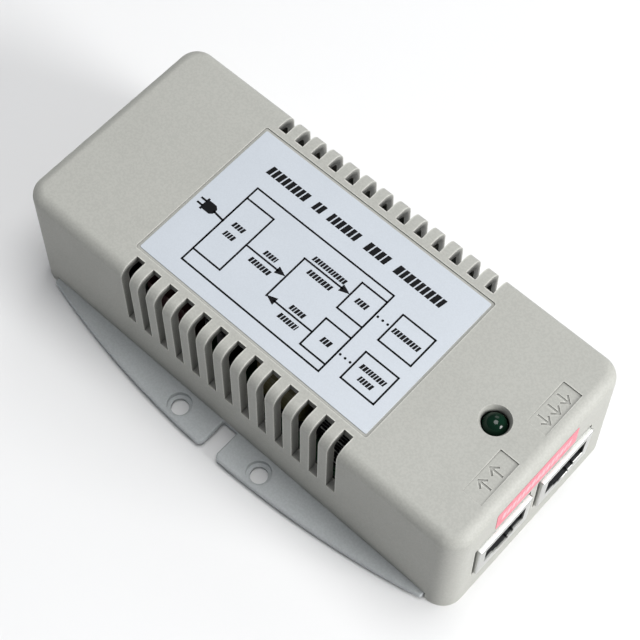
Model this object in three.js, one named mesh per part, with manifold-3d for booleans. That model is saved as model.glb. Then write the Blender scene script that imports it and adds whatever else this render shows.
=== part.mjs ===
// Power-over-Ethernet injector: a moulded case on a flanged base plate, with a mains inlet at one end,
// two shielded network jacks at the other, and the power supply board between them.
// Millimetres. +X points to the jacks, +Z up. The origin is under the middle of the whole object,
// on the surface that it stands on.
import * as THREE from "three";
import { mergeVertices } from "three/addons/utils/BufferGeometryUtils.js";
import Module from "manifold-3d";

const wasm = await Module();
wasm.setup();

// ---------- Driving dimensions ----------

// Case
const CASE_LENGTH = 114;
const CASE_WIDTH = 50;
const CASE_HEIGHT = 33;
const DRAFT = 0.02; // how far the walls lean out for each millimetre down from the top
const CORNER_RADIUS = 4.6;
const TOP_FILLET = 2.7;
const WALL = 2;
const FEATURE_OFFSET = -0.35; // the vents, label and screw lugs sit this far from the case's middle

// Vent slots, one row along each long edge
const VENT_COUNT = 13;
const VENT_PITCH = 4.55;
const VENT_WIDTH = 2.24;
const VENT_TOP_REACH = 20.25; // inner end on the top face, from the middle line
const VENT_FOOT = 14.2; // height of the lower ends

// Base plate and its two curved flanges
const BASE_THICKNESS = 2.4;
const FLANGE_UNDERSIDE = 0.9;
const FLANGE_RADIUS = 220;
const FLANGE_HALF_WIDTH = 32.9;
const FLANGE_HALF_LENGTH = 52;
const LUG_SPACING_X = 22.6;
const LUG_SPACING_Y = 58.4;
const LUG_HOLE_RADIUS = 1.9;
const LUG_POCKET_RADIUS = 2.75;
const LUG_POCKET_FLOOR = 1.1;
const LUG_BOSS_RADIUS = 3.15;
const LUG_BOSS_FOOT = 0.4;
const NOTCH_WIDTH = 3.9;
const NOTCH_CORNER = 1.5;

// Screws: M3, cover screws from below and board screws from above
const SCREW_RADIUS = 1.35;
const SCREW_HEAD_RADIUS = 2.6;
const SCREW_HEAD_HEIGHT = 1.3;
const COVER_SCREW_X = 50;
const COVER_SCREW_Y = 20.9;
const COVER_SCREW_LENGTH = 9;
const POST_RADIUS = 2.5;
const BOARD_SCREW_X = [-32.5, 32];
const BOARD_SCREW_Y = 18.6;
const BOARD_SCREW_LENGTH = 4;
const STANDOFF_RADIUS = 2.6;

// Circuit board
const BOARD_UNDERSIDE = 7.6;
const BOARD_TOP = 9.2;
const BOARD_BACK = -36;
const BOARD_FRONT = 55;
const BOARD_HALF_WIDTH = 21.3;
const BOARD_FRONT_HALF_WIDTH = 17;
const BOARD_STEP_X = 46.5;

// Label and sticker
const LABEL_LENGTH = 59.4;
const LABEL_WIDTH = 36.6;
const LABEL_THICKNESS = 0.15;
const LABEL_RECESS = 0.25;
const STICKER_SIZE = [0.1, 24, 6.6];
const STICKER_CENTRE_Z = 26.2;

// Network jacks
const PORTS_MIDDLE_Y = -1.1; // the two jacks and the sticker above them sit either side of this line
const JACK_SPACING = 18.6;
const JACK_WIDTH = 15.6;
const JACK_HEIGHT = 12.1;
const JACK_DEPTH = 21;
const JACK_FACE = 58.2;
const JACK_SKIN = 0.3;
const HEM_THICKNESS = 0.35;
const PLUG_WIDTH = 11.8;
const PLUG_HEIGHT = 6.3;
const PLUG_DEPTH = 13;
const PLUG_FLOOR = 3.7; // height of the plug's space above the jack's underside
const CONTACT_COUNT = 8;
const CONTACT_PITCH = 1.02;

// Mains inlet
const INLET_FACE = -58.4;
const INLET_Z = 16.4;
const INLET_FLANGE = [30.6, 22.6];
const INLET_BODY = [27, 19.8];
const INLET_MOUTH = [24.4, 16.4];
const INLET_MOUTH_DEPTH = 15.5;
const INLET_BACK = -41;
const INLET_PIN_SPACING = 7;
const INLET_PIN_RISE = 2;

// Indicator light
const LED_X = 45.3;
const LED_RADIUS = 2.5;
const LED_TOP = 33.2;
const LED_SEAT_RADIUS = 3.25;
const LED_HOLE_RADIUS = 2.75;
const LED_SEAT_DEPTH = 1.1;

const GAP = 0.06; // between pieces that touch
const FIT = 0.3; // between pieces that plug together

// ---------- Shapes and solids ----------

function solidOf(geometry) {
  const bare = geometry.clone();
  bare.deleteAttribute("normal");
  bare.deleteAttribute("uv");
  const merged = mergeVertices(bare, 1e-4);
  return new wasm.Manifold(
    new wasm.Mesh({
      numProp: 3,
      vertProperties: new Float32Array(merged.attributes.position.array),
      triVerts: new Uint32Array(merged.index.array),
    }),
  );
}

function geometryOf(solid) {
  const mesh = solid.getMesh();
  return new THREE.BufferGeometry()
    .setAttribute("position", new THREE.BufferAttribute(new Float32Array(mesh.vertProperties), 3))
    .setIndex(new THREE.BufferAttribute(new Uint32Array(mesh.triVerts), 1));
}

function block([x0, x1], [y0, y1], [z0, z1]) {
  const geometry = new THREE.BoxGeometry(x1 - x0, y1 - y0, z1 - z0);
  return solidOf(geometry.translate((x0 + x1) / 2, (y0 + y1) / 2, (z0 + z1) / 2));
}

function rodGeometry(radius, z0, z1, sides = 16) {
  return new THREE.CylinderGeometry(radius, radius, z1 - z0, sides)
    .rotateX(Math.PI / 2)
    .translate(0, 0, (z0 + z1) / 2);
}

function rod(radius, [x, y], [z0, z1], sides = 16) {
  return solidOf(rodGeometry(radius, z0, z1, sides).translate(x, y, 0));
}

// A solid of revolution about Z, from [radius, height] points that start and end on the axis.
function turnedGeometry(profile, sides = 16) {
  const points = profile.map(([radius, height]) => new THREE.Vector2(radius, height));
  return new THREE.LatheGeometry(points, sides).rotateX(Math.PI / 2);
}

function prismGeometry(shape, z0, z1, curveSegments = 6) {
  return new THREE.ExtrudeGeometry(shape, {
    depth: z1 - z0,
    bevelEnabled: false,
    curveSegments,
  }).translate(0, 0, z0);
}

function shapeOf(points) {
  return new THREE.Shape(points.map(([x, y]) => new THREE.Vector2(x, y)));
}

function roundedRectangle(halfX, halfY, radius, steps = 6) {
  const corners = [[1, 1], [-1, 1], [-1, -1], [1, -1]];
  return corners.flatMap(([signX, signY], quarter) =>
    Array.from({ length: steps + 1 }, (_, i) => {
      const angle = ((quarter + i / steps) * Math.PI) / 2;
      return [
        signX * (halfX - radius) + radius * Math.cos(angle),
        signY * (halfY - radius) + radius * Math.sin(angle),
      ];
    }),
  );
}

// A closed body through convex outlines of equal point count, stacked from low to high.
function loft(levels) {
  const count = levels[0].outline.length;
  const positions = levels.flatMap(({ outline, z }) => outline.flatMap(([x, y]) => [x, y, z]));
  const triangles = [];
  for (let level = 0; level + 1 < levels.length; level++) {
    for (let i = 0; i < count; i++) {
      const here = level * count + i;
      const next = level * count + ((i + 1) % count);
      triangles.push(here, next, next + count, here, next + count, here + count);
    }
  }
  const top = (levels.length - 1) * count;
  for (let i = 1; i + 1 < count; i++) {
    triangles.push(0, i + 1, i, top, top + i, top + i + 1);
  }
  const geometry = new THREE.BufferGeometry();
  geometry.setAttribute("position", new THREE.Float32BufferAttribute(positions, 3));
  geometry.setIndex(triangles);
  return solidOf(geometry);
}

// The case's outside at a height, moved in by an inset.
function caseOutline(z, inset) {
  const lean = DRAFT * (CASE_HEIGHT - z) - inset;
  return roundedRectangle(
    CASE_LENGTH / 2 + lean,
    CASE_WIDTH / 2 + lean,
    Math.max(CORNER_RADIUS - inset, 0.6),
  );
}

// The case's form between two heights, with its top edge rounded.
function caseForm(bottom, top, inset, fillet, filletSteps) {
  const levels = [{ outline: caseOutline(bottom, inset), z: bottom }];
  for (let i = 0; i <= filletSteps; i++) {
    const angle = ((i / filletSteps) * Math.PI) / 2;
    const z = top - fillet * (1 - Math.sin(angle));
    levels.push({ outline: caseOutline(z, inset + fillet * (1 - Math.cos(angle))), z });
  }
  return loft(levels);
}

// ---------- Finishes ----------

function finish(color, roughness, metalness = 0) {
  return new THREE.MeshStandardMaterial({ color, roughness, metalness });
}

const finishes = {
  case: () => finish(0xbcbdb6, 0.62),
  base: () => finish(0x969c9e, 0.6),
  paper: () => finish(0xd5dae2, 0.45),
  sticker: () => finish(0xf0a8b0, 0.5),
  steel: () => finish(0xb9bbbd, 0.32, 1),
  tin: () => finish(0xc9cac8, 0.35, 1),
  brass: () => finish(0xc8a24a, 0.35, 1),
  copper: () => finish(0xa8602c, 0.4, 1),
  blackPlastic: () => finish(0x17181a, 0.5),
  board: () => finish(0x2f6a3c, 0.5),
  ferrite: () => finish(0x2b2b2d, 0.75),
  tape: () => finish(0xb8a238, 0.5),
  heatsink: () => finish(0x1b1c1e, 0.45, 0.6),
  film: () => finish(0x7a2e22, 0.45),
  sleeve: () => finish(0x1d2433, 0.4),
  ceramic: () => finish(0x2f62a8, 0.5),
  glassFibre: () => finish(0xe6e3d6, 0.4),
  greenLens: () => finish(0x06351f, 0.15),
  mylar: () => finish(0xd9d7cc, 0.3),
  brownWire: () => finish(0x5a3420, 0.5),
  blueWire: () => finish(0x2a4f94, 0.5),
  earthWire: () => finish(0x8fa62c, 0.5),
};

const injector = new THREE.Group();
// The inlet stands out a little more than the jacks do, so the case is moved to centre the whole object.
injector.position.x = -(INLET_FACE + JACK_FACE) / 2;

function add(name, shape, finishName, [x, y, z] = [0, 0, 0]) {
  const geometry = shape.isBufferGeometry ? shape : geometryOf(shape);
  const mesh = new THREE.Mesh(geometry, finishes[finishName]());
  mesh.name = name;
  mesh.position.set(x, y, z);
  injector.add(mesh);
  return mesh;
}

const BOTH_SIDES = [-1, 1];

// ---------- Case cover ----------

function ventCutters() {
  const cutters = [];
  for (let i = 0; i < VENT_COUNT; i++) {
    const x = FEATURE_OFFSET + (i - (VENT_COUNT - 1) / 2) * VENT_PITCH;
    for (const side of BOTH_SIDES) {
      const reach = [side * VENT_TOP_REACH, side * CASE_WIDTH].sort((a, b) => a - b);
      cutters.push(block([x - VENT_WIDTH / 2, x + VENT_WIDTH / 2], reach, [VENT_FOOT, CASE_HEIGHT + 1]));
    }
  }
  return cutters;
}

// A hollow post under the roof that takes one cover screw, with a web to the side wall.
function coverPost(signX, signY) {
  const centre = [signX * COVER_SCREW_X, signY * COVER_SCREW_Y];
  const heights = [BASE_THICKNESS + FIT, CASE_HEIGHT - WALL / 2];
  const web = [signY * COVER_SCREW_Y, signY * (CASE_WIDTH / 2 - WALL / 2)].sort((a, b) => a - b);
  return rod(POST_RADIUS, centre, heights).add(
    block([centre[0] - 0.8, centre[0] + 0.8], web, heights),
  );
}

function coverCutters() {
  const cutters = ventCutters();
  for (const signX of BOTH_SIDES) {
    for (const signY of BOTH_SIDES) {
      const centre = [signX * COVER_SCREW_X, signY * COVER_SCREW_Y];
      cutters.push(rod(SCREW_RADIUS + 0.1, centre, [0, COVER_SCREW_LENGTH + 3], 12));
    }
  }
  // Flange slots through both long sides, open at the bottom edge.
  const flangeReach = FLANGE_HALF_LENGTH + FIT;
  for (const side of BOTH_SIDES) {
    const reach = [side * (CASE_WIDTH / 2 - WALL - 0.5), side * CASE_WIDTH].sort((a, b) => a - b);
    cutters.push(block([-flangeReach, flangeReach], reach, [-1, BASE_THICKNESS + 0.1]));
    const port = PORTS_MIDDLE_Y + (side * JACK_SPACING) / 2;
    cutters.push(
      block(
        [BOARD_FRONT - 2, CASE_LENGTH],
        [port - JACK_WIDTH / 2 - 0.5, port + JACK_WIDTH / 2 + 0.5],
        [BOARD_TOP - 0.2, BOARD_TOP + JACK_HEIGHT + FIT],
      ),
    );
  }
  const [inletWidth, inletHeight] = INLET_BODY;
  cutters.push(
    block(
      [-CASE_LENGTH, -CASE_LENGTH / 2 + WALL + 1],
      [-inletWidth / 2 - FIT, inletWidth / 2 + FIT],
      [INLET_Z - inletHeight / 2 - FIT, INLET_Z + inletHeight / 2 + FIT],
    ),
  );
  const halfLength = LABEL_LENGTH / 2 + FIT;
  cutters.push(
    block(
      [FEATURE_OFFSET - halfLength, FEATURE_OFFSET + halfLength],
      [-LABEL_WIDTH / 2 - FIT, LABEL_WIDTH / 2 + FIT],
      [CASE_HEIGHT - LABEL_RECESS, CASE_HEIGHT + 1],
    ),
  );
  const seat = turnedGeometry([
    [0, -WALL - 1],
    [LED_HOLE_RADIUS, -WALL - 1],
    [LED_HOLE_RADIUS, -LED_SEAT_DEPTH],
    [LED_SEAT_RADIUS, 0],
    [LED_SEAT_RADIUS, 1],
    [0, 1],
  ]);
  cutters.push(solidOf(seat.translate(LED_X, 0, CASE_HEIGHT)));
  return cutters;
}

function makeCover() {
  let cover = caseForm(0, CASE_HEIGHT, 0, TOP_FILLET, 5);
  cover = cover.subtract(caseForm(-1, CASE_HEIGHT - WALL, WALL, 1.4, 2));
  for (const signX of BOTH_SIDES) {
    for (const signY of BOTH_SIDES) {
      cover = cover.add(coverPost(signX, signY));
    }
  }
  for (const cutter of coverCutters()) {
    cover = cover.subtract(cutter);
  }
  add("cover", cover, "case");
}

// ---------- Base plate ----------

// The two flanges as one plate, bounded by two arcs and cut off square at its ends.
function flangeShape() {
  const steps = 22;
  const points = [];
  for (const side of BOTH_SIDES) {
    for (let i = 0; i <= steps; i++) {
      const x = -side * FLANGE_HALF_LENGTH * (1 - (2 * i) / steps);
      const sagitta = FLANGE_RADIUS - Math.sqrt(FLANGE_RADIUS ** 2 - x ** 2);
      points.push([-x, side * (FLANGE_HALF_WIDTH - sagitta)]);
    }
  }
  return shapeOf(points.reverse());
}

// The notch that splits each flange, with its two outer corners rounded over.
function notchCutter(side) {
  const half = NOTCH_WIDTH / 2;
  const inner = CASE_WIDTH / 2 + 0.7;
  const edge = FLANGE_HALF_WIDTH;
  const outline = [[half, inner]];
  for (let i = 0; i <= 5; i++) {
    const angle = ((i / 5) * Math.PI) / 2;
    outline.push([
      half + NOTCH_CORNER * (1 - Math.cos(angle)),
      edge - NOTCH_CORNER * (1 - Math.sin(angle)) + 0.05,
    ]);
  }
  outline.push([half + NOTCH_CORNER, edge + 2]);
  const mirrored = outline.map(([x, y]) => [-x, y]).reverse();
  const shape = shapeOf([...outline, ...mirrored]);
  const cutter = prismGeometry(shape, -1, BASE_THICKNESS + 1);
  if (side < 0) cutter.rotateZ(Math.PI);
  return solidOf(cutter.translate(FEATURE_OFFSET, 0, 0));
}

function makeBase() {
  const floor = roundedRectangle(
    CASE_LENGTH / 2 - WALL + 0.1,
    CASE_WIDTH / 2 - WALL + 0.1,
    CORNER_RADIUS - WALL,
  );
  let base = solidOf(prismGeometry(shapeOf(floor), 0, BASE_THICKNESS));
  base = base.add(solidOf(prismGeometry(flangeShape(), FLANGE_UNDERSIDE, BASE_THICKNESS)));
  for (const side of BOTH_SIDES) {
    base = base.subtract(notchCutter(side));
    for (const end of BOTH_SIDES) {
      const lug = [FEATURE_OFFSET + (end * LUG_SPACING_X) / 2, (side * LUG_SPACING_Y) / 2];
      base = base.add(rod(LUG_BOSS_RADIUS, lug, [LUG_BOSS_FOOT, BASE_THICKNESS - 0.5]));
      base = base.subtract(rod(LUG_POCKET_RADIUS, lug, [LUG_POCKET_FLOOR, BASE_THICKNESS + 1], 20));
      base = base.subtract(rod(LUG_HOLE_RADIUS, lug, [-1, BASE_THICKNESS]));
      const screw = [end * COVER_SCREW_X, side * COVER_SCREW_Y];
      base = base.subtract(rod(SCREW_RADIUS + 0.35, screw, [-1, BASE_THICKNESS + 1], 12));
      base = base.subtract(rod(SCREW_HEAD_RADIUS + 0.25, screw, [-1, SCREW_HEAD_HEIGHT + 0.2]));
    }
    for (const x of BOARD_SCREW_X) {
      const centre = [x, side * BOARD_SCREW_Y];
      base = base.add(rod(STANDOFF_RADIUS, centre, [BASE_THICKNESS - 0.5, BOARD_UNDERSIDE - GAP]));
      base = base.subtract(rod(SCREW_RADIUS + 0.1, centre, [BASE_THICKNESS - 0.6, CASE_HEIGHT], 12));
    }
  }
  add("base_plate", base, "base");
}

// ---------- Screws ----------

// A pan head screw with a cross recess, head down, its thread modelled as a plain shank.
function screwSolid(length) {
  const head = solidOf(
    turnedGeometry(
      [
        [0, 0],
        [SCREW_HEAD_RADIUS * 0.72, 0],
        [SCREW_HEAD_RADIUS, SCREW_HEAD_HEIGHT * 0.55],
        [SCREW_HEAD_RADIUS, SCREW_HEAD_HEIGHT],
        [SCREW_RADIUS, SCREW_HEAD_HEIGHT],
        [SCREW_RADIUS, SCREW_HEAD_HEIGHT + length - SCREW_RADIUS],
        [0.3, SCREW_HEAD_HEIGHT + length],
        [0, SCREW_HEAD_HEIGHT + length],
      ],
      12,
    ),
  );
  const slot = [-1.4, 1.4];
  const width = [-0.3, 0.3];
  const depth = [-1, 0.8];
  return head.subtract(block(slot, width, depth)).subtract(block(width, slot, depth));
}

function makeScrews() {
  const coverScrew = geometryOf(screwSolid(COVER_SCREW_LENGTH));
  const boardScrew = geometryOf(screwSolid(BOARD_SCREW_LENGTH)).rotateX(Math.PI);
  let number = 0;
  for (const end of BOTH_SIDES) {
    for (const side of BOTH_SIDES) {
      number += 1;
      const coverPlace = [end * COVER_SCREW_X, side * COVER_SCREW_Y, 0.15];
      add(`cover_screw_${number}`, coverScrew, "steel", coverPlace);
      const x = BOARD_SCREW_X[end < 0 ? 0 : 1];
      const boardPlace = [x, side * BOARD_SCREW_Y, BOARD_TOP + GAP + SCREW_HEAD_HEIGHT];
      add(`board_screw_${number}`, boardScrew, "steel", boardPlace);
    }
  }
}

// ---------- Label and sticker ----------

function makeLabels() {
  const label = new THREE.BoxGeometry(LABEL_LENGTH, LABEL_WIDTH, LABEL_THICKNESS);
  const labelZ = CASE_HEIGHT - LABEL_RECESS + 0.02 + LABEL_THICKNESS / 2;
  add("label", label, "paper", [FEATURE_OFFSET, 0, labelZ]);
  const wallFace = CASE_LENGTH / 2 + DRAFT * (CASE_HEIGHT - STICKER_CENTRE_Z + STICKER_SIZE[2] / 2);
  const stickerX = wallFace + 0.01 + STICKER_SIZE[0] / 2;
  const stickerPlace = [stickerX, PORTS_MIDDLE_Y, STICKER_CENTRE_Z];
  add("port_sticker", new THREE.BoxGeometry(...STICKER_SIZE), "sticker", stickerPlace);
}

// ---------- Circuit board and insulating sheet ----------

function boardOutline(grow) {
  const wide = BOARD_HALF_WIDTH + grow;
  const narrow = BOARD_FRONT_HALF_WIDTH + grow;
  return shapeOf([
    [BOARD_BACK - grow, -wide],
    [BOARD_STEP_X, -wide],
    [BOARD_STEP_X, -narrow],
    [BOARD_FRONT, -narrow],
    [BOARD_FRONT, narrow],
    [BOARD_STEP_X, narrow],
    [BOARD_STEP_X, wide],
    [BOARD_BACK - grow, wide],
  ]);
}

function makeBoard() {
  const holes = (radius, heights) =>
    BOARD_SCREW_X.flatMap((x) =>
      BOTH_SIDES.map((side) => rod(radius, [x, side * BOARD_SCREW_Y], heights, 12)),
    );
  let board = solidOf(prismGeometry(boardOutline(0), BOARD_UNDERSIDE, BOARD_TOP));
  for (const hole of holes(SCREW_RADIUS + 0.15, [0, CASE_HEIGHT])) board = board.subtract(hole);
  add("circuit_board", board, "board");
  const sheetBottom = BASE_THICKNESS + GAP;
  let sheet = solidOf(prismGeometry(boardOutline(0.1), sheetBottom, sheetBottom + 0.3));
  for (const hole of holes(STANDOFF_RADIUS + 0.2, [0, CASE_HEIGHT])) sheet = sheet.subtract(hole);
  add("insulating_sheet", sheet, "mylar");
}

// ---------- Network jacks ----------

// Everything below is in the jack's own frame: x from its face back to -JACK_DEPTH, z from its underside.

// The plug's space, with the two steps below it for the plug's latch.
function mouthCutters(depth) {
  const latchFloor = PLUG_FLOOR - 1.1;
  return [
    block([-depth, 1], [-PLUG_WIDTH / 2, PLUG_WIDTH / 2], [PLUG_FLOOR, PLUG_FLOOR + PLUG_HEIGHT]),
    block([-depth, 1], [-3.1, 3.1], [latchFloor, PLUG_FLOOR + 1]),
    block([-depth, 1], [-1.6, 1.6], [latchFloor - 0.9, PLUG_FLOOR]),
  ];
}

function jackShell() {
  const half = JACK_WIDTH / 2;
  const outer = block([-JACK_DEPTH, 0], [-half, half], [0, JACK_HEIGHT]);
  const inside = block(
    [-JACK_DEPTH + JACK_SKIN, 1],
    [-half + JACK_SKIN, half - JACK_SKIN],
    [-1, JACK_HEIGHT - JACK_SKIN],
  );
  // The front hem closes in to the plug's mouth.
  const hem = mouthCutters(2).reduce(
    (plate, cutter) => plate.subtract(cutter),
    block([-HEM_THICKNESS, 0], [-half, half], [0, JACK_HEIGHT]),
  );
  return outer.subtract(inside).add(hem);
}

function jackBody() {
  const half = JACK_WIDTH / 2 - JACK_SKIN - GAP;
  const front = -HEM_THICKNESS - GAP;
  const outer = block(
    [-JACK_DEPTH + JACK_SKIN + GAP, front],
    [-half, half],
    [GAP, JACK_HEIGHT - JACK_SKIN - GAP],
  );
  // Room at the back, open below, for the contact carrier.
  const carrier = block([-JACK_DEPTH + 2, -PLUG_DEPTH - 1], [-5.4, 5.4], [-1, JACK_HEIGHT - 1.8]);
  const contactGate = block([-PLUG_DEPTH - 2, -PLUG_DEPTH + 1], [-4.4, 4.4], [6.4, 9.2]);
  return [...mouthCutters(PLUG_DEPTH), carrier, contactGate].reduce(
    (body, cutter) => body.subtract(cutter),
    outer,
  );
}

// The contact carrier with its eight wires, which slope down from the back towards the mouth.
function jackContacts() {
  let carrier = block([-JACK_DEPTH + 2.3, -PLUG_DEPTH - 1.6], [-5, 5], [GAP, 9.8]);
  for (let i = 0; i < CONTACT_COUNT; i++) {
    const y = (i - (CONTACT_COUNT - 1) / 2) * CONTACT_PITCH;
    const side = shapeOf([
      [-PLUG_DEPTH - 2.4, 6.8],
      [-PLUG_DEPTH - 0.4, 6.8],
      [-3.4, 8.7],
      [-3.4, 9.1],
      [-PLUG_DEPTH - 0.4, 7.4],
      [-PLUG_DEPTH - 2.4, 7.4],
    ]);
    const wire = prismGeometry(side, -0.2, 0.2).rotateX(Math.PI / 2).translate(0, y, 0);
    carrier = carrier.add(solidOf(wire));
  }
  return carrier;
}

function makeJacks() {
  const names = ["in", "out"];
  BOTH_SIDES.forEach((side, index) => {
    const place = [JACK_FACE, PORTS_MIDDLE_Y + (side * JACK_SPACING) / 2, BOARD_TOP + GAP];
    add(`jack_${names[index]}_shell`, jackShell(), "tin", place);
    add(`jack_${names[index]}_body`, jackBody(), "blackPlastic", place);
    add(`jack_${names[index]}_contacts`, jackContacts(), "brass", place);
  });
}

// ---------- Mains inlet ----------

// The inlet's section: a rectangle with its two upper corners cut off.
function inletSection([width, height], cut) {
  const halfWidth = width / 2;
  const halfHeight = height / 2;
  return shapeOf([
    [-halfWidth, -halfHeight],
    [halfWidth, -halfHeight],
    [halfWidth, halfHeight - cut],
    [halfWidth - cut, halfHeight],
    [-halfWidth + cut, halfHeight],
    [-halfWidth, halfHeight - cut],
  ]);
}

// A section drawn across the inlet, run from x0 to x1. Its width is along Y and its height along Z.
function alongX(shape, x0, x1) {
  const geometry = prismGeometry(shape, x0, x1).rotateX(Math.PI / 2).rotateZ(Math.PI / 2);
  return solidOf(geometry.translate(0, 0, INLET_Z));
}

function inletPinPlaces() {
  return [
    ["neutral", -INLET_PIN_SPACING, INLET_Z - INLET_PIN_RISE],
    ["earth", 0, INLET_Z + INLET_PIN_RISE],
    ["live", INLET_PIN_SPACING, INLET_Z - INLET_PIN_RISE],
  ];
}

function makeInlet() {
  const wallFace = -CASE_LENGTH / 2 - DRAFT * CASE_HEIGHT;
  const mouthEnd = INLET_FACE + INLET_MOUTH_DEPTH;
  let housing = alongX(inletSection(INLET_FLANGE, 1), INLET_FACE, wallFace - GAP);
  housing = housing.add(alongX(inletSection(INLET_BODY, 1), wallFace - 0.5, INLET_BACK));
  housing = housing.subtract(alongX(inletSection(INLET_MOUTH, 4), INLET_FACE - 1, mouthEnd));
  for (const [name, y, z] of inletPinPlaces()) {
    housing = housing.subtract(block([mouthEnd - 1, INLET_BACK + 1], [y - 1.1, y + 1.1], [z - 2.1, z + 2.1]));
    const blade = block([INLET_FACE + 3, INLET_BACK + 0.5], [y - 1, y + 1], [z - 2, z + 2]);
    const tab = block([INLET_BACK, INLET_BACK + 6.5], [y - 0.4, y + 0.4], [z - 2, z + 2]);
    add(`inlet_pin_${name}`, blade.add(tab), "brass");
  }
  add("inlet_housing", housing, "blackPlastic");
}

// An insulated lead from each inlet tab down to the board.
function makeInletWires() {
  const coats = { neutral: "blueWire", earth: "earthWire", live: "brownWire" };
  const wireRadius = 0.8;
  for (const [name, y, z] of inletPinPlaces()) {
    const start = INLET_BACK + 6.5 + FIT;
    const drop = z - BOARD_TOP - GAP;
    const path = new THREE.CatmullRomCurve3([
      new THREE.Vector3(start, y, z),
      new THREE.Vector3(start + 1.7, y, z - 0.06 * drop),
      new THREE.Vector3(start + 3, y, z - 0.36 * drop),
      new THREE.Vector3(start + 3.4, y, z - 0.7 * drop),
      new THREE.Vector3(start + 3.4, y, z - drop),
    ]);
    const section = new THREE.Shape().absarc(0, 0, wireRadius, 0, Math.PI * 2);
    const wire = new THREE.ExtrudeGeometry(section, {
      steps: 12,
      curveSegments: 4,
      bevelEnabled: false,
      extrudePath: path,
    });
    add(`inlet_wire_${name}`, solidOf(wire), coats[name]);
  }
}

// ---------- Parts on the circuit board ----------

// Each of these stands on the board at its centre.
const ON_BOARD = BOARD_TOP + GAP;
const FUSE_X = -17.4;
const FUSE_Y = 17.9;

function onBoard(name, shape, finishName, x, y) {
  return add(name, shape, finishName, [x, y, ON_BOARD]);
}

function boxPart(length, width, height) {
  return new THREE.BoxGeometry(length, width, height).translate(0, 0, height / 2);
}

// An aluminium can capacitor with its rolled groove near the foot.
function canCapacitor(radius, height) {
  return turnedGeometry([
    [0, 0],
    [radius * 0.94, 0],
    [radius, 0.5],
    [radius, 1.6],
    [radius * 0.93, 2.1],
    [radius, 2.6],
    [radius, height - 0.5],
    [radius * 0.94, height],
    [0, height],
  ]);
}

// A ring standing on edge, its axis along X: a closed profile turned about its own axis.
function standingRing(outer, inner, width, sides = 20) {
  const half = width / 2;
  const profile = [[inner, -half], [outer, -half], [outer, half], [inner, half], [inner, -half]];
  return turnedGeometry(profile, sides).rotateY(Math.PI / 2).translate(0, 0, outer);
}

// A disc standing on edge, its axis along X.
function standingDisc(radius, width) {
  return rodGeometry(radius, -width / 2, width / 2, 20).rotateY(Math.PI / 2).translate(0, 0, radius);
}

// A power transistor body, standing, with its metal tab above the moulding.
function tabbedTransistor() {
  const moulding = block([-2.2, 2.2], [-5, 5], [2.5, 11.5]);
  return moulding.add(block([0.9, 2.2], [-5, 5], [11, 17.5]));
}

function makeMainsSide() {
  const fuseGlass = rodGeometry(2.1, -7.2, 7.2, 16).rotateY(Math.PI / 2).translate(0, 0, 4.6);
  onBoard("fuse_tube", fuseGlass, "glassFibre", FUSE_X, FUSE_Y);
  BOTH_SIDES.forEach((end, index) => {
    const cap = rodGeometry(2.6, -2.5, 2.5, 16).rotateY(Math.PI / 2).translate(0, 0, 4.6);
    const foot = block([-2.5, 2.5], [-2, 2], [0, 2.4]);
    onBoard(`fuse_clip_${index + 1}`, solidOf(cap).add(foot), "tin", FUSE_X + end * 9.8, FUSE_Y);
  });
  onBoard("mains_filter_capacitor", boxPart(13, 8, 15), "film", -21, -16);
  const chokeX = -24.5;
  const chokeY = 5.5;
  onBoard("choke_core", standingRing(6.2, 3.6, 3.4), "ferrite", chokeX, chokeY).position.z += 1.3;
  BOTH_SIDES.forEach((side, index) => {
    // Each winding is a C-shaped sleeve over one side of the ring.
    const sleeve = solidOf(standingRing(7.4, 2.4, 6).translate(0, 0, 0.1));
    const room = solidOf(standingRing(6.5, 3.3, 3.9).translate(0, 0, 1));
    const half = block([-5, 5], side < 0 ? [-9, -1.6] : [1.6, 9], [-1, 18]);
    const winding = sleeve.subtract(room).intersect(half);
    onBoard(`choke_winding_${index + 1}`, winding, "copper", chokeX, chokeY);
  });
  onBoard("inrush_thermistor", standingDisc(4.5, 3.6), "sleeve", -23.5, -6.4);
  onBoard("bridge_rectifier", boxPart(15, 4, 12), "blackPlastic", 4, 18.4);
  onBoard("bulk_capacitor", canCapacitor(8, 20.5), "sleeve", -10.5, 6.6);
}

function makeSwitchingStage() {
  const plate = block([-1, 1], [-9, 9], [0, 21]);
  onBoard("primary_heatsink", plate.add(block([-4, 1], [-9, 9], [19.5, 21])), "heatsink", -6.3, -11.5);
  onBoard("switching_transistor", tabbedTransistor(), "blackPlastic", -9.7, -11.5);
  const transformerX = 7.6;
  const transformerY = -10;
  const core = block([-10, 10], [-4.6, 4.6], [2, 21]).subtract(block([-6.6, 6.6], [-6, 6], [5, 18]));
  onBoard("transformer_core", core, "ferrite", transformerX, transformerY);
  const winding = loft(
    [[5.2, 8.4], [5.4, 9.4], [16.6, 9.4], [17.8, 8.4]].map(([z, halfY]) => ({
      outline: roundedRectangle(6.3, halfY, 2, 4),
      z,
    })),
  );
  onBoard("transformer_winding", winding, "tape", transformerX, transformerY);
  onBoard("transformer_bobbin", boxPart(18, 18, 1.6), "blackPlastic", transformerX, transformerY);
  onBoard("control_chip", boxPart(9.4, 6.4, 3.4), "blackPlastic", 5.2, 7.4);
  onBoard("optocoupler", boxPart(4.8, 6.4, 3.4), "blackPlastic", 13.6, 3.6);
  onBoard("safety_capacitor", standingDisc(4, 3.2), "ceramic", 13, 11.6);
}

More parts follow.
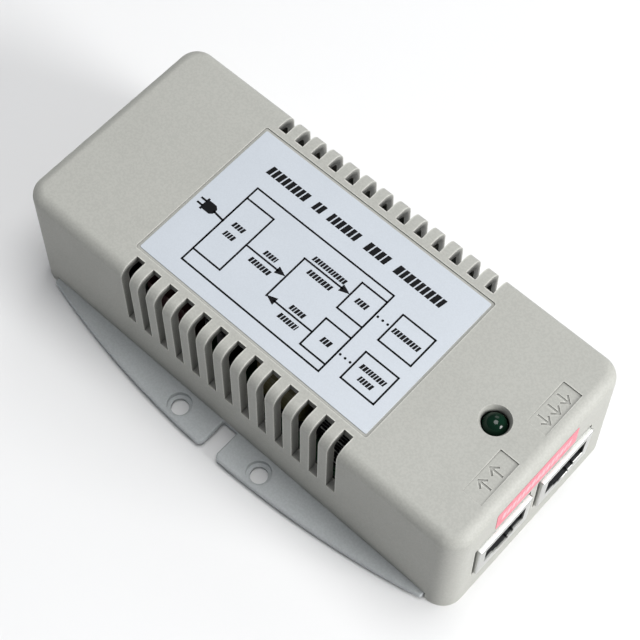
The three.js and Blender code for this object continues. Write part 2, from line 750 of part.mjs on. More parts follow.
function makeOutputStage() {
  const heatsinkHeight = [0, 20.8];
  let heatsink = block([-4.6, 4.6], [2.7, 4.5], heatsinkHeight);
  for (let fin = 0; fin < 4; fin++) {
    const x = -4.6 + fin * 2.7;
    heatsink = heatsink.add(block([x, x + 1.1], [-8, 4.5], heatsinkHeight));
  }
  onBoard("output_heatsink", heatsink, "heatsink", 24.2, -12);
  const rectifier = geometryOf(tabbedTransistor()).rotateZ(-Math.PI / 2);
  onBoard("output_rectifier", rectifier, "blackPlastic", 24.2, -5.1);
  const places = [[20.5, 10.5], [20.5, 2.2], [28.2, 13]];
  places.forEach(([x, y], index) => {
    onBoard(`output_capacitor_${index + 1}`, canCapacitor(4, 16), "sleeve", x, y);
  });
  const bobbin = turnedGeometry([[0, 0], [5, 0], [5, 1.2], [4.4, 1.2], [4.4, 9], [5, 9], [5, 10.2], [0, 10.2]]);
  onBoard("output_choke", bobbin, "copper", 29.6, 3.8);
  onBoard("line_transformer", boxPart(4.6, 13, 5.5), "blackPlastic", 33.2, -8.6);
}

// ---------- Indicator light ----------

function makeLed() {
  const foot = LED_TOP - 8.6;
  const rim = [[0, 0], [2.9, 0], [2.9, 1], [LED_RADIUS, 1], [LED_RADIUS, 6.1]];
  for (let i = 1; i <= 6; i++) {
    const angle = ((i / 6) * Math.PI) / 2;
    rim.push([i === 6 ? 0 : LED_RADIUS * Math.cos(angle), 6.1 + LED_RADIUS * Math.sin(angle)]);
  }
  add("led_lens", turnedGeometry(rim), "greenLens", [LED_X, 0, foot]);
  const leadNames = ["led_lead_cathode", "led_lead_anode"];
  BOTH_SIDES.forEach((side, index) => {
    const lead = new THREE.BoxGeometry(0.5, 0.5, foot - GAP - ON_BOARD);
    const z = (foot - GAP + ON_BOARD) / 2;
    add(leadNames[index], lead, "tin", [LED_X + side * 1.27, 0, z]);
  });
}

makeCover();
makeBase();
makeScrews();
makeLabels();
makeBoard();
makeJacks();
makeInlet();
makeInletWires();
makeMainsSide();
makeSwitchingStage();
makeOutputStage();
makeLed();

export default injector;
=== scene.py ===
"""A power-over-Ethernet injector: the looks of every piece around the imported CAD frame.

Lengths are in millimetres, with x measured from the case's middle and z from the base's underside.
Only the lights and the camera are placed in metres, in the frame's own coordinates.
"""

import math
import random

import bmesh
import bpy
from mathutils import Matrix, Vector


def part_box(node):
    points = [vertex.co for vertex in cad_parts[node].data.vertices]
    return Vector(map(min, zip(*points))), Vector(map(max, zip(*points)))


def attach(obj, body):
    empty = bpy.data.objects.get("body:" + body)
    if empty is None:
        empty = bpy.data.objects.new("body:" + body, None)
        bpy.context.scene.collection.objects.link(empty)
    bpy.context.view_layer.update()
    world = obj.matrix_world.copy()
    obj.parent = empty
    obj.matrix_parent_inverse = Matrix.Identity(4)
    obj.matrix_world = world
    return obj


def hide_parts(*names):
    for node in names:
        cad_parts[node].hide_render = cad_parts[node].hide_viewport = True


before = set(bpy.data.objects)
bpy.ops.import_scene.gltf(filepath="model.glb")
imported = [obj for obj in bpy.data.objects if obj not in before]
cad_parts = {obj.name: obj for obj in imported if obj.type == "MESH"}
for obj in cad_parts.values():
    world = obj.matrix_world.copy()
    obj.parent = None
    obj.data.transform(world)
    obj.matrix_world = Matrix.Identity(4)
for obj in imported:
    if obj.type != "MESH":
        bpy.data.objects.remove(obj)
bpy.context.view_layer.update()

MM = 0.001
cover_low, cover_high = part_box("cover")
MIDDLE_X = (cover_low.x + cover_high.x) / 2 / MM

# ---------- Sizes ----------

CASE_LENGTH, CASE_WIDTH, CASE_HEIGHT = 114.0, 50.0, 33.0
DRAFT = 0.02  # how far the walls lean out for each millimetre down from the top
CORNER_RADIUS = 4.6
TOP_FILLET = 2.7
INNER_FILLET = 1.4
WALL = 2.0
FEATURE_X = -0.35  # the vents, label and lugs sit this far from the case's middle

VENTS = 13
VENT_PITCH = 4.55
VENT_WIDTH = 2.24
VENT_TOP_REACH = 20.25  # inner end on the top face, from the middle line
VENT_FOOT = 14.2

BASE_TOP = 2.4
FLANGE_UNDERSIDE = 0.9
FLANGE_RADIUS = 220.0
FLANGE_HALF_WIDTH = 32.9
FLANGE_HALF_LENGTH = 52.0
LUG_X = 11.3
LUG_Y = 29.2
LUG_HOLE_RADIUS = 1.9
LUG_POCKET_FLOOR = 1.1
LUG_BOSS_RADIUS = 3.15
LUG_BOSS_FOOT = 0.4
NOTCH_HALF = 1.95
NOTCH_CORNER = 1.5

COVER_SCREWS = [(x, y) for x in (-50, 50) for y in (-20.9, 20.9)]
BOARD_SCREWS = [(x, y) for x in (-32.5, 32) for y in (-18.6, 18.6)]
SCREW_BORE_RADIUS = 1.45
SCREW_CLEARANCE_RADIUS = 1.7
SCREW_RECESS_RADIUS = 2.85
SCREW_RECESS_DEPTH = 1.5
POST_RADIUS = 2.5
POST_BORE_TOP = 12
STAND_RADIUS = 2.6
STAND_TOP = 7.54

LABEL_LENGTH, LABEL_WIDTH = 59.4, 36.6
LABEL_TOP = 32.92
LABEL_THICKNESS = 0.15
LABEL_BED_MARGIN = 0.6
LABEL_BED_DEPTH = 0.25

JACK_DEPTH, JACK_WIDTH, JACK_HEIGHT = 21.0, 15.6, 12.1
JACK_FACE = 58.2
JACK_MIDDLES = {"in": -10.4, "out": 8.2}
JACK_FOOT = 9.26
SHIELD_SKIN = 0.3
SHIELD_HEM = 0.35
PLUG_HALF_WIDTH = 5.9
PLUG_FLOOR = 3.7  # height of the plug's space above the jack's foot
PLUG_CEILING = 10
PLUG_DEPTH = 13
CONTACTS = 8
CONTACT_PITCH = 1.02

INLET_FACE = -58.4
INLET_Z = 16.4
INLET_FLANGE = (30.6, 22.6)
INLET_BODY = (27.0, 19.8)
INLET_MOUTH = (24.4, 16.4)
INLET_LEAD_IN = (25.2, 17.2)
INLET_MOUTH_END = -42.9
INLET_BACK = -41.0
INLET_PINS = {"neutral": (-7, -2), "earth": (0, 2), "live": (7, -2)}

LED_X = 45.3
LED_RADIUS = 2.5
LED_FOOT = 24.6
LED_SHOULDER = 6.1  # where the dome starts, above the foot
LED_SEAT = [(2.75, -3.2), (2.75, -1.1), (3.2, -0.12), (3.42, 0.3)]  # radius, height over the top

FIT = 0.3  # between pieces that plug together
GAP = 0.06  # between pieces that touch
BOTH = (-1, 1)

random.seed(7)


# ---------- Meshes ----------


def build(name, vertices, faces):
    mesh = bpy.data.meshes.new(name)
    mesh.from_pydata([((x + MIDDLE_X) * MM, y * MM, z * MM) for x, y, z in vertices], [], faces)
    bm = bmesh.new()
    bm.from_mesh(mesh)
    bmesh.ops.remove_doubles(bm, verts=bm.verts, dist=1e-7)
    bmesh.ops.recalc_face_normals(bm, faces=bm.faces)
    bm.to_mesh(mesh)
    bm.free()
    piece = bpy.data.objects.new(name, mesh)
    bpy.context.scene.collection.objects.link(piece)
    return piece


def stack(name, rings):
    """A closed body through rings of equal point count, each a list of (x, y, z)."""
    count = len(rings[0])
    vertices = [point for ring in rings for point in ring]
    faces = []
    for level in range(len(rings) - 1):
        for i in range(count):
            j = (i + 1) % count
            low, high = level * count, (level + 1) * count
            faces.append((low + i, low + j, high + j, high + i))
    faces.append(tuple(reversed(range(count))))
    top = (len(rings) - 1) * count
    faces.append(tuple(range(top, top + count)))
    return build(name, vertices, faces)


def prism(name, outline, low, high):
    return stack(name, [[(x, y, z) for x, y in outline] for z in (low, high)])


def box(name, x, y, z):
    return prism(name, [(x[0], y[0]), (x[1], y[0]), (x[1], y[1]), (x[0], y[1])], z[0], z[1])


def circle(x, y, radius, sides=48):
    turn = 2 * math.pi / sides
    return [(x + radius * math.cos(i * turn), y + radius * math.sin(i * turn)) for i in range(sides)]


def rounded(half_x, half_y, radius, steps, centre=(0, 0)):
    points = []
    for quarter, (sx, sy) in enumerate(((1, 1), (-1, 1), (-1, -1), (1, -1))):
        for i in range(steps + 1):
            angle = (quarter + i / steps) * math.pi / 2
            points.append(
                (
                    centre[0] + sx * (half_x - radius) + radius * math.cos(angle),
                    centre[1] + sy * (half_y - radius) + radius * math.sin(angle),
                )
            )
    return points


def turned(name, profile, x, y, z, sides=64):
    """A body of revolution about a vertical axis, from (radius, height) points."""
    angles = [2 * math.pi * i / sides for i in range(sides)]
    rings = []
    for radius, height in profile:
        radius = max(radius, 0.001)
        rings.append([(x + radius * math.cos(a), y + radius * math.sin(a), z + height) for a in angles])
    return stack(name, rings)


def wire(path, radius, sides=10):
    """A round wire along a path."""
    points = [Vector(p) for p in path]
    angles = [2 * math.pi * i / sides for i in range(sides)]
    rings = []
    normal = None
    for i, point in enumerate(points):
        along = (points[min(i + 1, len(points) - 1)] - points[max(i - 1, 0)]).normalized()
        if normal is None:
            normal = along.orthogonal().normalized()
        normal = (normal - along * normal.dot(along)).normalized()
        side = along.cross(normal)
        rings.append([tuple(point + radius * (math.cos(a) * normal + math.sin(a) * side)) for a in angles])
    return stack("wire", rings)


def stroke(points, width, low, high):
    """A straight-sided bar along each stretch between the points."""
    pieces = []
    for (x0, y0), (x1, y1) in zip(points, points[1:]):
        along = Vector((x1 - x0, y1 - y0))
        side = Vector((-along.y, along.x)).normalized() * width / 2
        end = along.normalized() * width / 2
        a, b = Vector((x0, y0)) - end, Vector((x1, y1)) + end
        outline = [tuple(a - side), tuple(b - side), tuple(b + side), tuple(a + side)]
        pieces.append(prism("stroke", outline, low, high))
    return pieces


def joined(name, pieces):
    bm = bmesh.new()
    for piece in pieces:
        bm.from_mesh(piece.data)
        bpy.data.objects.remove(piece)
    mesh = bpy.data.meshes.new(name)
    bm.to_mesh(mesh)
    bm.free()
    whole = bpy.data.objects.new(name, mesh)
    bpy.context.scene.collection.objects.link(whole)
    return whole


def applied(piece):
    """The piece with its modifiers made part of its mesh."""
    graph = bpy.context.evaluated_depsgraph_get()
    mesh = bpy.data.meshes.new_from_object(piece.evaluated_get(graph))
    piece.modifiers.clear()
    piece.data = mesh
    return piece


def combine(piece, others, operation="DIFFERENCE"):
    """One exact boolean with all the other pieces together, which may cross each other."""
    tool = joined("tool", others)
    cut = piece.modifiers.new("cut", "BOOLEAN")
    cut.operation = operation
    cut.solver = "EXACT"
    cut.use_self = True
    cut.object = tool
    applied(piece)
    bpy.data.objects.remove(tool)
    return piece


def rounded_edges(piece, width, segments, angle=40):
    bevel = piece.modifiers.new("edges", "BEVEL")
    bevel.width = width * MM
    bevel.segments = segments
    bevel.limit_method = "ANGLE"
    bevel.angle_limit = math.radians(angle)
    bevel.use_clamp_overlap = True
    bevel.miter_outer = "MITER_ARC"
    return applied(piece)


def smoothed(piece, angle=30):
    for polygon in piece.data.polygons:
        polygon.use_smooth = True
    piece.data.set_sharp_from_angle(angle=math.radians(angle))
    weights = piece.modifiers.new("normals", "WEIGHTED_NORMAL")
    weights.keep_sharp = True
    return applied(piece)


def place(piece, material, slot, *nodes):
    piece.data.materials.clear()
    piece.data.materials.append(material)
    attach(piece, "root")
    if nodes:
        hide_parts(*nodes)


# ---------- Materials ----------


def linear(hex_colour):
    channels = [int(hex_colour[i : i + 2], 16) / 255 for i in (0, 2, 4)]
    return tuple(c / 12.92 if c <= 0.04045 else ((c + 0.055) / 1.055) ** 2.4 for c in channels) + (1.0,)


def shaded(colour, factor):
    return tuple(min(1.0, c * factor) for c in colour[:3]) + (1.0,)


def grey(value):
    return (value, value, value, 1)


class Surface:
    """A procedural finish: colour drift, fine grain in the relief, uneven gloss, faint scuffs, and painted
    shade and highlights where asked.
    """

    def __init__(self, name, colour, roughness, metallic=0.0):
        self.material = bpy.data.materials.new(name)
        self.material.use_nodes = True
        self.nodes = self.material.node_tree.nodes
        self.links = self.material.node_tree.links
        self.shader = self.nodes["Principled BSDF"]
        self.colour = linear(colour)
        self.roughness = roughness
        self.shader.inputs["Metallic"].default_value = metallic
        self.shader.inputs["Roughness"].default_value = roughness
        self.place = self.nodes.new("ShaderNodeTexCoord").outputs["Object"]
        self.tint = None
        self.relief = None

    def stretched(self, x, y, z):
        mapping = self.nodes.new("ShaderNodeMapping")
        mapping.inputs["Scale"].default_value = (x, y, z)
        self.links.new(self.place, mapping.inputs["Vector"])
        return mapping.outputs["Vector"]

    def noise(self, size_mm, detail=3.0, where=None, roughness=0.55):
        node = self.nodes.new("ShaderNodeTexNoise")
        node.inputs["Scale"].default_value = 1 / (size_mm * MM)
        node.inputs["Detail"].default_value = detail
        node.inputs["Roughness"].default_value = roughness
        self.links.new(where or self.place, node.inputs["Vector"])
        return node.outputs["Fac"]

    def ramp(self, value, stops):
        node = self.nodes.new("ShaderNodeValToRGB")
        elements = node.color_ramp.elements
        while len(elements) < len(stops):
            elements.new(0.5)
        for element, (position, colour) in zip(elements, stops):
            element.position = position
            element.color = colour
        self.links.new(value, node.inputs["Fac"])
        return node.outputs["Color"]

    def mixed(self, first, second, factor, mode="MIX"):
        node = self.nodes.new("ShaderNodeMix")
        node.data_type = "RGBA"
        node.blend_type = mode
        self._feed(node.inputs[0], factor)
        self._feed(node.inputs[6], first)
        self._feed(node.inputs[7], second)
        return node.outputs[2]

    def _feed(self, socket, value):
        if hasattr(value, "is_linked"):
            self.links.new(value, socket)
        else:
            socket.default_value = value

    def multiplied(self, factor):
        self.tint = self.mixed(self.tint or self.colour, factor, 1.0, "MULTIPLY")
        return self

    def drift(self, size_mm, spread):
        """Slow colour drift over the surface."""
        darker, lighter = shaded(self.colour, 1 - spread), shaded(self.colour, 1 + spread)
        self.tint = self.ramp(self.noise(size_mm, 4.0), [(0.3, darker), (0.7, lighter)])
        return self

    def speckled(self, size_mm, dark, light, low=0.42, high=0.58):
        """Fine speckle multiplied into the colour."""
        return self.multiplied(self.ramp(self.noise(size_mm, 2.0), [(low, grey(dark)), (high, grey(light))]))

    def scuffed(self, colour, size_mm, amount, threshold):
        """Faint long scuffs of another colour."""
        fine = self.noise(size_mm, 6.0, self.stretched(1.0, 4.0, 1.0), 0.7)
        mask = self.ramp(fine, [(threshold, grey(0)), (threshold + 0.08, grey(amount))])
        self.tint = self.mixed(self.tint or self.colour, linear(colour), mask)
        return self

    def painted_shade_and_highlights(self, crevice_mm, dark, edge_mm, light):
        """Painted shade and painted highlights: colour a little darker in narrow gaps, where shade falls, and
        a little lighter on the outer edges, where highlights fall.
        """
        for reach, inside, stops in (
            (crevice_mm, False, [(0.35, grey(dark)), (0.9, grey(1))]),
            (edge_mm, True, [(0.5, grey(light)), (0.85, grey(1))]),
        ):
            near = self.nodes.new("ShaderNodeAmbientOcclusion")
            near.samples = 8
            near.only_local = True
            near.inside = inside
            near.inputs["Distance"].default_value = reach * MM
            self.multiplied(self.ramp(near.outputs["AO"], stops))
        return self

    def uneven_gloss(self, size_mm, spread):
        value = self.noise(size_mm, 3.0)
        node = self.nodes.new("ShaderNodeMapRange")
        node.inputs["From Min"].default_value = 0.3
        node.inputs["From Max"].default_value = 0.7
        node.inputs["To Min"].default_value = max(0.02, self.roughness - spread)
        node.inputs["To Max"].default_value = min(1.0, self.roughness + spread)
        self.links.new(value, node.inputs["Value"])
        self.links.new(node.outputs["Result"], self.shader.inputs["Roughness"])
        return self

    def grain(self, size_mm, depth_mm):
        """Relief of a moulded or rolled skin."""
        return self.raised(self.noise(size_mm, 2.0), depth_mm)

    def raised(self, value, depth_mm):
        """Relief that follows a value, added over any relief already there."""
        bump = self.nodes.new("ShaderNodeBump")
        bump.inputs["Strength"].default_value = 1.0
        bump.inputs["Distance"].default_value = depth_mm * MM
        self.links.new(value, bump.inputs["Height"])
        if self.relief:
            self.links.new(self.relief, bump.inputs["Normal"])
        self.relief = bump.outputs["Normal"]
        return self

    def bands(self, width_mm, axis, distortion=0.0):
        """Light and dark bands across an axis, each of the given width along X, Y or Z."""
        wave = self.nodes.new("ShaderNodeTexWave")
        wave.bands_direction = axis
        wave.inputs["Scale"].default_value = math.pi / (20 * width_mm * MM)  # a wave's phase is 20 x scale
        wave.inputs["Distortion"].default_value = distortion
        self.links.new(self.place, wave.inputs["Vector"])
        return wave.outputs["Fac"]

    def set(self, **sockets):
        for name, value in sockets.items():
            self.shader.inputs[name.replace("_", " ")].default_value = value
        return self

    def done(self):
        if self.tint:
            self.links.new(self.tint, self.shader.inputs["Base Color"])
        else:
            self.shader.inputs["Base Color"].default_value = self.colour
        if self.relief:
            self.links.new(self.relief, self.shader.inputs["Normal"])
        return self.material


M = {}
M["case"] = (
    Surface("case_plastic", "A6A6A0", 0.58)
    .drift(22, 0.02)
    .speckled(0.42, 0.95, 1.03)
    .scuffed("C0C1BA", 11, 0.2, 0.7)
    # painted shade in narrow gaps such as the vents, and painted highlights on the outer edges
    .painted_shade_and_highlights(4.0, 0.34, 0.55, 1.55)
    .uneven_gloss(6, 0.05)
    .grain(0.42, 0.016)
    .grain(9.0, 0.03)
    .set(Specular_IOR_Level=0.4)
    .done()
)
M["base"] = (
    Surface("base_plastic", "ABAFB0", 0.55)
    .drift(18, 0.03)
    .speckled(0.42, 0.95, 1.03)
    .uneven_gloss(6, 0.06)
    .grain(0.4, 0.014)
    .set(Specular_IOR_Level=0.45)
    .done()
)
M["label"] = (
    Surface("label_film", "BBC1C8", 0.36)
    .drift(12, 0.012)
    .speckled(0.3, 0.975, 1.01)
    .uneven_gloss(8, 0.05)
    .grain(0.6, 0.004)
    .grain(14.0, 0.03)
    .done()
)
M["ink"] = (
    Surface("label_ink", "07080B", 0.6)
    .drift(1.2, 0.3)
    .grain(0.3, 0.004)
    .set(Specular_IOR_Level=0.15)
    .done()
)
M["sticker"] = (
    Surface("sticker_film", "D4717F", 0.5)
    .drift(5, 0.04)
    .speckled(0.5, 0.94, 1.03)
    .uneven_gloss(4, 0.08)
    .grain(1.6, 0.02)
    .done()
)
M["sticker_ink"] = Surface("sticker_ink", "E3A3AB", 0.5).drift(1.5, 0.05).grain(0.5, 0.006).done()
M["steel"] = (
    Surface("plated_steel", "B4B6B6", 0.3, 1.0)
    .drift(2, 0.08)
    .uneven_gloss(1.5, 0.1)
    .grain(0.25, 0.004)
    .done()
)
M["tin"] = (
    Surface("tinned_shield", "BFC0BD", 0.32, 1.0)
    .drift(6, 0.03)
    .uneven_gloss(4, 0.04)
    .grain(2.5, 0.003)
    .done()
)
M["brass"] = (
    Surface("brass_contact", "D2AA50", 0.26, 1.0)
    .drift(2, 0.08)
    .uneven_gloss(1.5, 0.08)
    .grain(0.3, 0.003)
    .done()
)
M["copper"] = (
    Surface("copper_wire", "A65A28", 0.3, 1.0)
    .drift(1.5, 0.12)
    .uneven_gloss(1.2, 0.08)
    .grain(0.3, 0.006)
    .done()
)
M["black"] = (
    Surface("black_plastic", "17181B", 0.42)
    .drift(16, 0.12)
    .speckled(0.5, 0.965, 1.02)
    .uneven_gloss(5, 0.05)
    .grain(0.3, 0.01)
    .grain(5.0, 0.02)
    .done()
)
M["board"] = (
    Surface("board_mask", "1C4629", 0.34)
    .drift(6, 0.08)
    .speckled(1.1, 0.86, 1.08, 0.46, 0.54)
    .uneven_gloss(4, 0.08)
    .grain(0.8, 0.01)
    .done()
)
M["ferrite"] = (
    Surface("ferrite", "2A2A2C", 0.7)
    .drift(3, 0.2)
    .speckled(0.25, 0.7, 1.2)
    .grain(0.3, 0.02)
    .done()
)
M["film"] = (
    Surface("film_capacitor", "3B1714", 0.34)
    .drift(4, 0.08)
    .grain(2.4, 0.06)
    .uneven_gloss(3, 0.08)
    .done()
)
M["sleeve"] = (
    Surface("can_sleeve", "1C2231", 0.34)
    .drift(4, 0.1)
    .grain(1.5, 0.03)
    .uneven_gloss(3, 0.08)
    .done()
)
M["ceramic"] = (
    Surface("ceramic_disc", "2F62A8", 0.35)
    .drift(2, 0.08)
    .grain(1.1, 0.05)
    .uneven_gloss(2, 0.08)
    .done()
)
M["fuse"] = (
    Surface("fuse_glass", "DADCD6", 0.08)
    .drift(4, 0.03)
    .grain(2, 0.01)
    .set(Transmission_Weight=0.75, IOR=1.5)
    .done()
)
M["mylar"] = Surface("insulating_film", "D5D3C8", 0.22).drift(9, 0.04).grain(6, 0.05).done()
M["brown_wire"] = Surface("brown_wire", "5A3420", 0.4).drift(2, 0.08).grain(0.6, 0.01).done()
M["blue_wire"] = Surface("blue_wire", "2A4F94", 0.4).drift(2, 0.08).grain(0.6, 0.01).done()
M["solder"] = (
    Surface("tinned_lead", "C4C6C4", 0.28, 1.0)
    .drift(1, 0.08)
    .uneven_gloss(1, 0.08)
    .grain(0.4, 0.01)
    .done()
)


def earth_wire():
    surface = Surface("earth_wire", "8FA62C", 0.4)
    stripe = surface.bands(3.0, "DIAGONAL")
    surface.tint = surface.ramp(stripe, [(0.45, linear("2E7A34")), (0.55, linear("D8C92E"))])
    return surface.grain(0.6, 0.01).done()


def winding_tape():
    surface = Surface("winding_tape", "5F5934", 0.42).drift(3, 0.07)
    return surface.raised(surface.bands(0.9, "Z", 1.5), 0.03).grain(1.8, 0.03).uneven_gloss(2, 0.08).done()


def black_anodised():
    surface = Surface("black_anodised", "1A1B1D", 0.4, 0.6).drift(3, 0.15)
    streaks = surface.noise(0.5, 2.0, surface.stretched(1.0, 1.0, 0.05))
    return surface.raised(streaks, 0.01).uneven_gloss(2, 0.1).done()


def worn_fin():
    surface = Surface("fin_edge", "A9ABA8", 0.38, 0.9)
    return surface.drift(2, 0.2).speckled(0.5, 0.7, 1.1).grain(0.4, 0.01).done()


def tinted_lens():
    surface = Surface("green_lens", "032013", 0.14).drift(1.6, 0.25).grain(1.5, 0.004)
    surface.set(Specular_IOR_Level=0.35, IOR=1.45)
    return surface.uneven_gloss(1.5, 0.03).done()


M["earth_wire"] = earth_wire()
M["tape"] = winding_tape()
M["heatsink"] = black_anodised()
M["fin_edge"] = worn_fin()
M["lens"] = tinted_lens()


# ---------- Case cover ----------


def case_ring(z, inset, steps):
    lean = DRAFT * (CASE_HEIGHT - z) - inset
    outline = rounded(CASE_LENGTH / 2 + lean, CASE_WIDTH / 2 + lean, max(CORNER_RADIUS - inset, 0.6), steps)
    return [(x, y, z) for x, y in outline]


def case_body(name, low, high, inset, fillet, steps, fillet_steps):
    rings = [case_ring(low, inset, steps)]
    for i in range(fillet_steps + 1):
        angle = i / fillet_steps * math.pi / 2
        z = high - fillet * (1 - math.sin(angle))
        rings.append(case_ring(z, inset + fillet * (1 - math.cos(angle)), steps))
    return stack(name, rings)


# A sunk bed beside each jack slopes down towards +Y and carries arrows.
# The arrows point outwards (1) or inwards (-1).
MARK_BED_X = (49.7, 54.1)
MARK_HALF_WIDTH = 5.48
MARK_SHALLOW, MARK_DEEP = 0.08, 0.3
MARKS = ((9.29, 1, (-3.1, -0.2, 2.7)), (-9.29, -1, (-1.9, 1.5)))  # middle, direction, arrows' offsets
MARK_ARROW_DEPTH = 0.28
MARK_ARROW_HALF_LENGTH = 1.35
MARK_ARROW_BARB = (1.15, 1.0)  # length along the arrow and reach to each side
MARK_ARROW_LINE = 0.42


def port_marks():
    """Cutters for the beds and their engraved arrows."""
    cutters = []
    top, above = CASE_HEIGHT, CASE_HEIGHT + 0.5
    barb_length, barb_reach = MARK_ARROW_BARB
    for middle, direction, offsets in MARKS:
        low, high = middle - MARK_HALF_WIDTH, middle + MARK_HALF_WIDTH
        section = [(low, top - MARK_SHALLOW), (high, top - MARK_DEEP), (high, top + 1), (low, top + 1)]
        cutters.append(stack("bed", [[(x, y, z) for y, z in section] for x in MARK_BED_X]))
        tip = sum(MARK_BED_X) / 2 + direction * MARK_ARROW_HALF_LENGTH
        tail = sum(MARK_BED_X) / 2 - direction * MARK_ARROW_HALF_LENGTH
        barb = tip - direction * barb_length
        for offset in offsets:
            y = middle + offset
            slope = (MARK_DEEP - MARK_SHALLOW) * (y - low) / (high - low)
            floor = top - MARK_ARROW_DEPTH - slope
            head = [(barb, y - barb_reach), (tip, y), (barb, y + barb_reach)]
            cutters += stroke([(tail, y), (tip, y)], MARK_ARROW_LINE, floor, above)
            cutters += stroke(head, MARK_ARROW_LINE, floor, above)
    return cutters


def vents():
    cutters = []
    for i in range(VENTS):
        middle = FEATURE_X + (i - (VENTS - 1) / 2) * VENT_PITCH
        x = (middle - VENT_WIDTH / 2, middle + VENT_WIDTH / 2)
        for side in BOTH:
            y = sorted((side * VENT_TOP_REACH, side * CASE_WIDTH))
            cutters.append(box("vent", x, y, (VENT_FOOT, CASE_HEIGHT + 1)))
    return cutters


def wall_windows():
    """Cutters for the flange slots in the long sides, and for the jacks and the inlet at the ends."""
    cutters = []
    reach = FLANGE_HALF_LENGTH + FIT
    for side in BOTH:
        y = sorted((side * (CASE_WIDTH / 2 - WALL - 0.5), side * CASE_WIDTH))
        cutters.append(box("flange_slot", (-reach, reach), y, (-1, BASE_TOP + 0.1)))
    heights = (JACK_FOOT - FIT, JACK_FOOT + JACK_HEIGHT + FIT)
    for middle in JACK_MIDDLES.values():
        y = (middle - JACK_WIDTH / 2 - 0.5, middle + JACK_WIDTH / 2 + 0.5)
        cutters.append(box("jack_window", (CASE_LENGTH / 2 - 2 * WALL, CASE_LENGTH), y, heights))
    half_y, half_z = INLET_BODY[0] / 2 + FIT, INLET_BODY[1] / 2 + FIT
    x = (-CASE_LENGTH, -CASE_LENGTH / 2 + WALL + 1)
    cutters.append(box("inlet_window", x, (-half_y, half_y), (INLET_Z - half_z, INLET_Z + half_z)))
    return cutters


def make_cover():
    cover = case_body("case_cover", 0, CASE_HEIGHT, 0, TOP_FILLET, 16, 12)
    combine(cover, [case_body("hollow", -1, CASE_HEIGHT - WALL, WALL, INNER_FILLET, 8, 4)])
    posts, cutters = [], []
    for x, y in COVER_SCREWS:
        posts.append(prism("post", circle(x, y, POST_RADIUS, 32), BASE_TOP + FIT, CASE_HEIGHT - 1))
        cutters.append(prism("bore", circle(x, y, SCREW_BORE_RADIUS, 24), 0, POST_BORE_TOP))
    combine(cover, posts, "UNION")
    cutters += vents() + wall_windows()
    half_x, half_y = LABEL_LENGTH / 2 + LABEL_BED_MARGIN, LABEL_WIDTH / 2 + LABEL_BED_MARGIN
    bed = rounded(half_x, half_y, 0.5, 4, (FEATURE_X, 0))
    cutters.append(prism("label_bed", bed, CASE_HEIGHT - LABEL_BED_DEPTH, CASE_HEIGHT + 1))
    cutters.append(turned("lamp_seat", LED_SEAT, LED_X, 0, CASE_HEIGHT))
    combine(cover, cutters)
    combine(cover, port_marks())
    rounded_edges(cover, 0.14, 2)
    smoothed(cover, 35)
    place(cover, M["case"], "case_plastic", "cover")


# ---------- Base ----------


def flange_outline():
    points = []
    steps = 80
    for side in BOTH:
        for i in range(steps + 1):
            x = side * FLANGE_HALF_LENGTH * (2 * i / steps - 1)
            sagitta = FLANGE_RADIUS - math.sqrt(FLANGE_RADIUS**2 - x**2)
            points.append((x, -side * (FLANGE_HALF_WIDTH - sagitta)))
    return points


def notch(side):
    """A cutter that splits a flange, with its two outer corners rounded over."""
    inner, edge, steps = CASE_WIDTH / 2 + 0.7, FLANGE_HALF_WIDTH, 8
    half = [(NOTCH_HALF, inner)]
    for i in range(steps + 1):
        angle = i / steps * math.pi / 2
        across = NOTCH_HALF + NOTCH_CORNER * (1 - math.cos(angle))
        half.append((across, edge - NOTCH_CORNER * (1 - math.sin(angle)) + 0.05))
    half.append((NOTCH_HALF + NOTCH_CORNER, edge + 2))
    outline = half + [(-x, y) for x, y in reversed(half)]
    return prism("notch", [(x + FEATURE_X, side * y) for x, y in outline], -1, BASE_TOP + 1)


def make_base():
    base = prism("base_tray", flange_outline(), FLANGE_UNDERSIDE, BASE_TOP)
    combine(base, [notch(side) for side in BOTH])
    rounded_edges(base, 0.42, 4)
    floor_x, floor_y = CASE_LENGTH / 2 - WALL + 0.1, CASE_WIDTH / 2 - WALL + 0.1
    floor = prism("floor", rounded(floor_x, floor_y, CORNER_RADIUS - WALL, 10), 0, BASE_TOP - 0.01)
    lugs = [(FEATURE_X + sx * LUG_X, sy * LUG_Y) for sx in BOTH for sy in BOTH]
    bosses = [prism("boss", circle(x, y, LUG_BOSS_RADIUS), LUG_BOSS_FOOT, BASE_TOP - 0.5) for x, y in lugs]
    stands = []
    for x, y in BOARD_SCREWS:
        stands.append(prism("stand", circle(x, y, STAND_RADIUS, 36), BASE_TOP - 0.5, STAND_TOP))
    combine(base, [floor, *bosses, *stands], "UNION")
    hole, pocket_floor = LUG_HOLE_RADIUS, LUG_POCKET_FLOOR
    lug_profile = [(hole, -1), (hole, pocket_floor), (2.7, pocket_floor), (2.78, 4)]
    recess, depth, clearance = SCREW_RECESS_RADIUS, SCREW_RECESS_DEPTH, SCREW_CLEARANCE_RADIUS
    recess_profile = [(recess, -1), (recess, depth), (clearance, depth), (clearance, 4)]
    cutters = [turned("lug_hole", lug_profile, x, y, 0, 56) for x, y in lugs]
    cutters += [turned("screw_recess", recess_profile, x, y, 0, 40) for x, y in COVER_SCREWS]
    cutters += [prism("stand_bore", circle(x, y, SCREW_BORE_RADIUS, 24), 1.8, 9) for x, y in BOARD_SCREWS]
    combine(base, cutters)
    rounded_edges(base, 0.12, 2, angle=42)
    smoothed(base, 35)
    place(base, M["base"], "base_plastic", "base_plate")


# ---------- Label ----------


INK = (LABEL_TOP + 0.004, LABEL_TOP + 0.022)  # the print's lower and upper side
LINE = 0.4
PLUG_LINE = 0.45
PRINT_WEIGHT = 0.62  # how wide the bars of plain print are

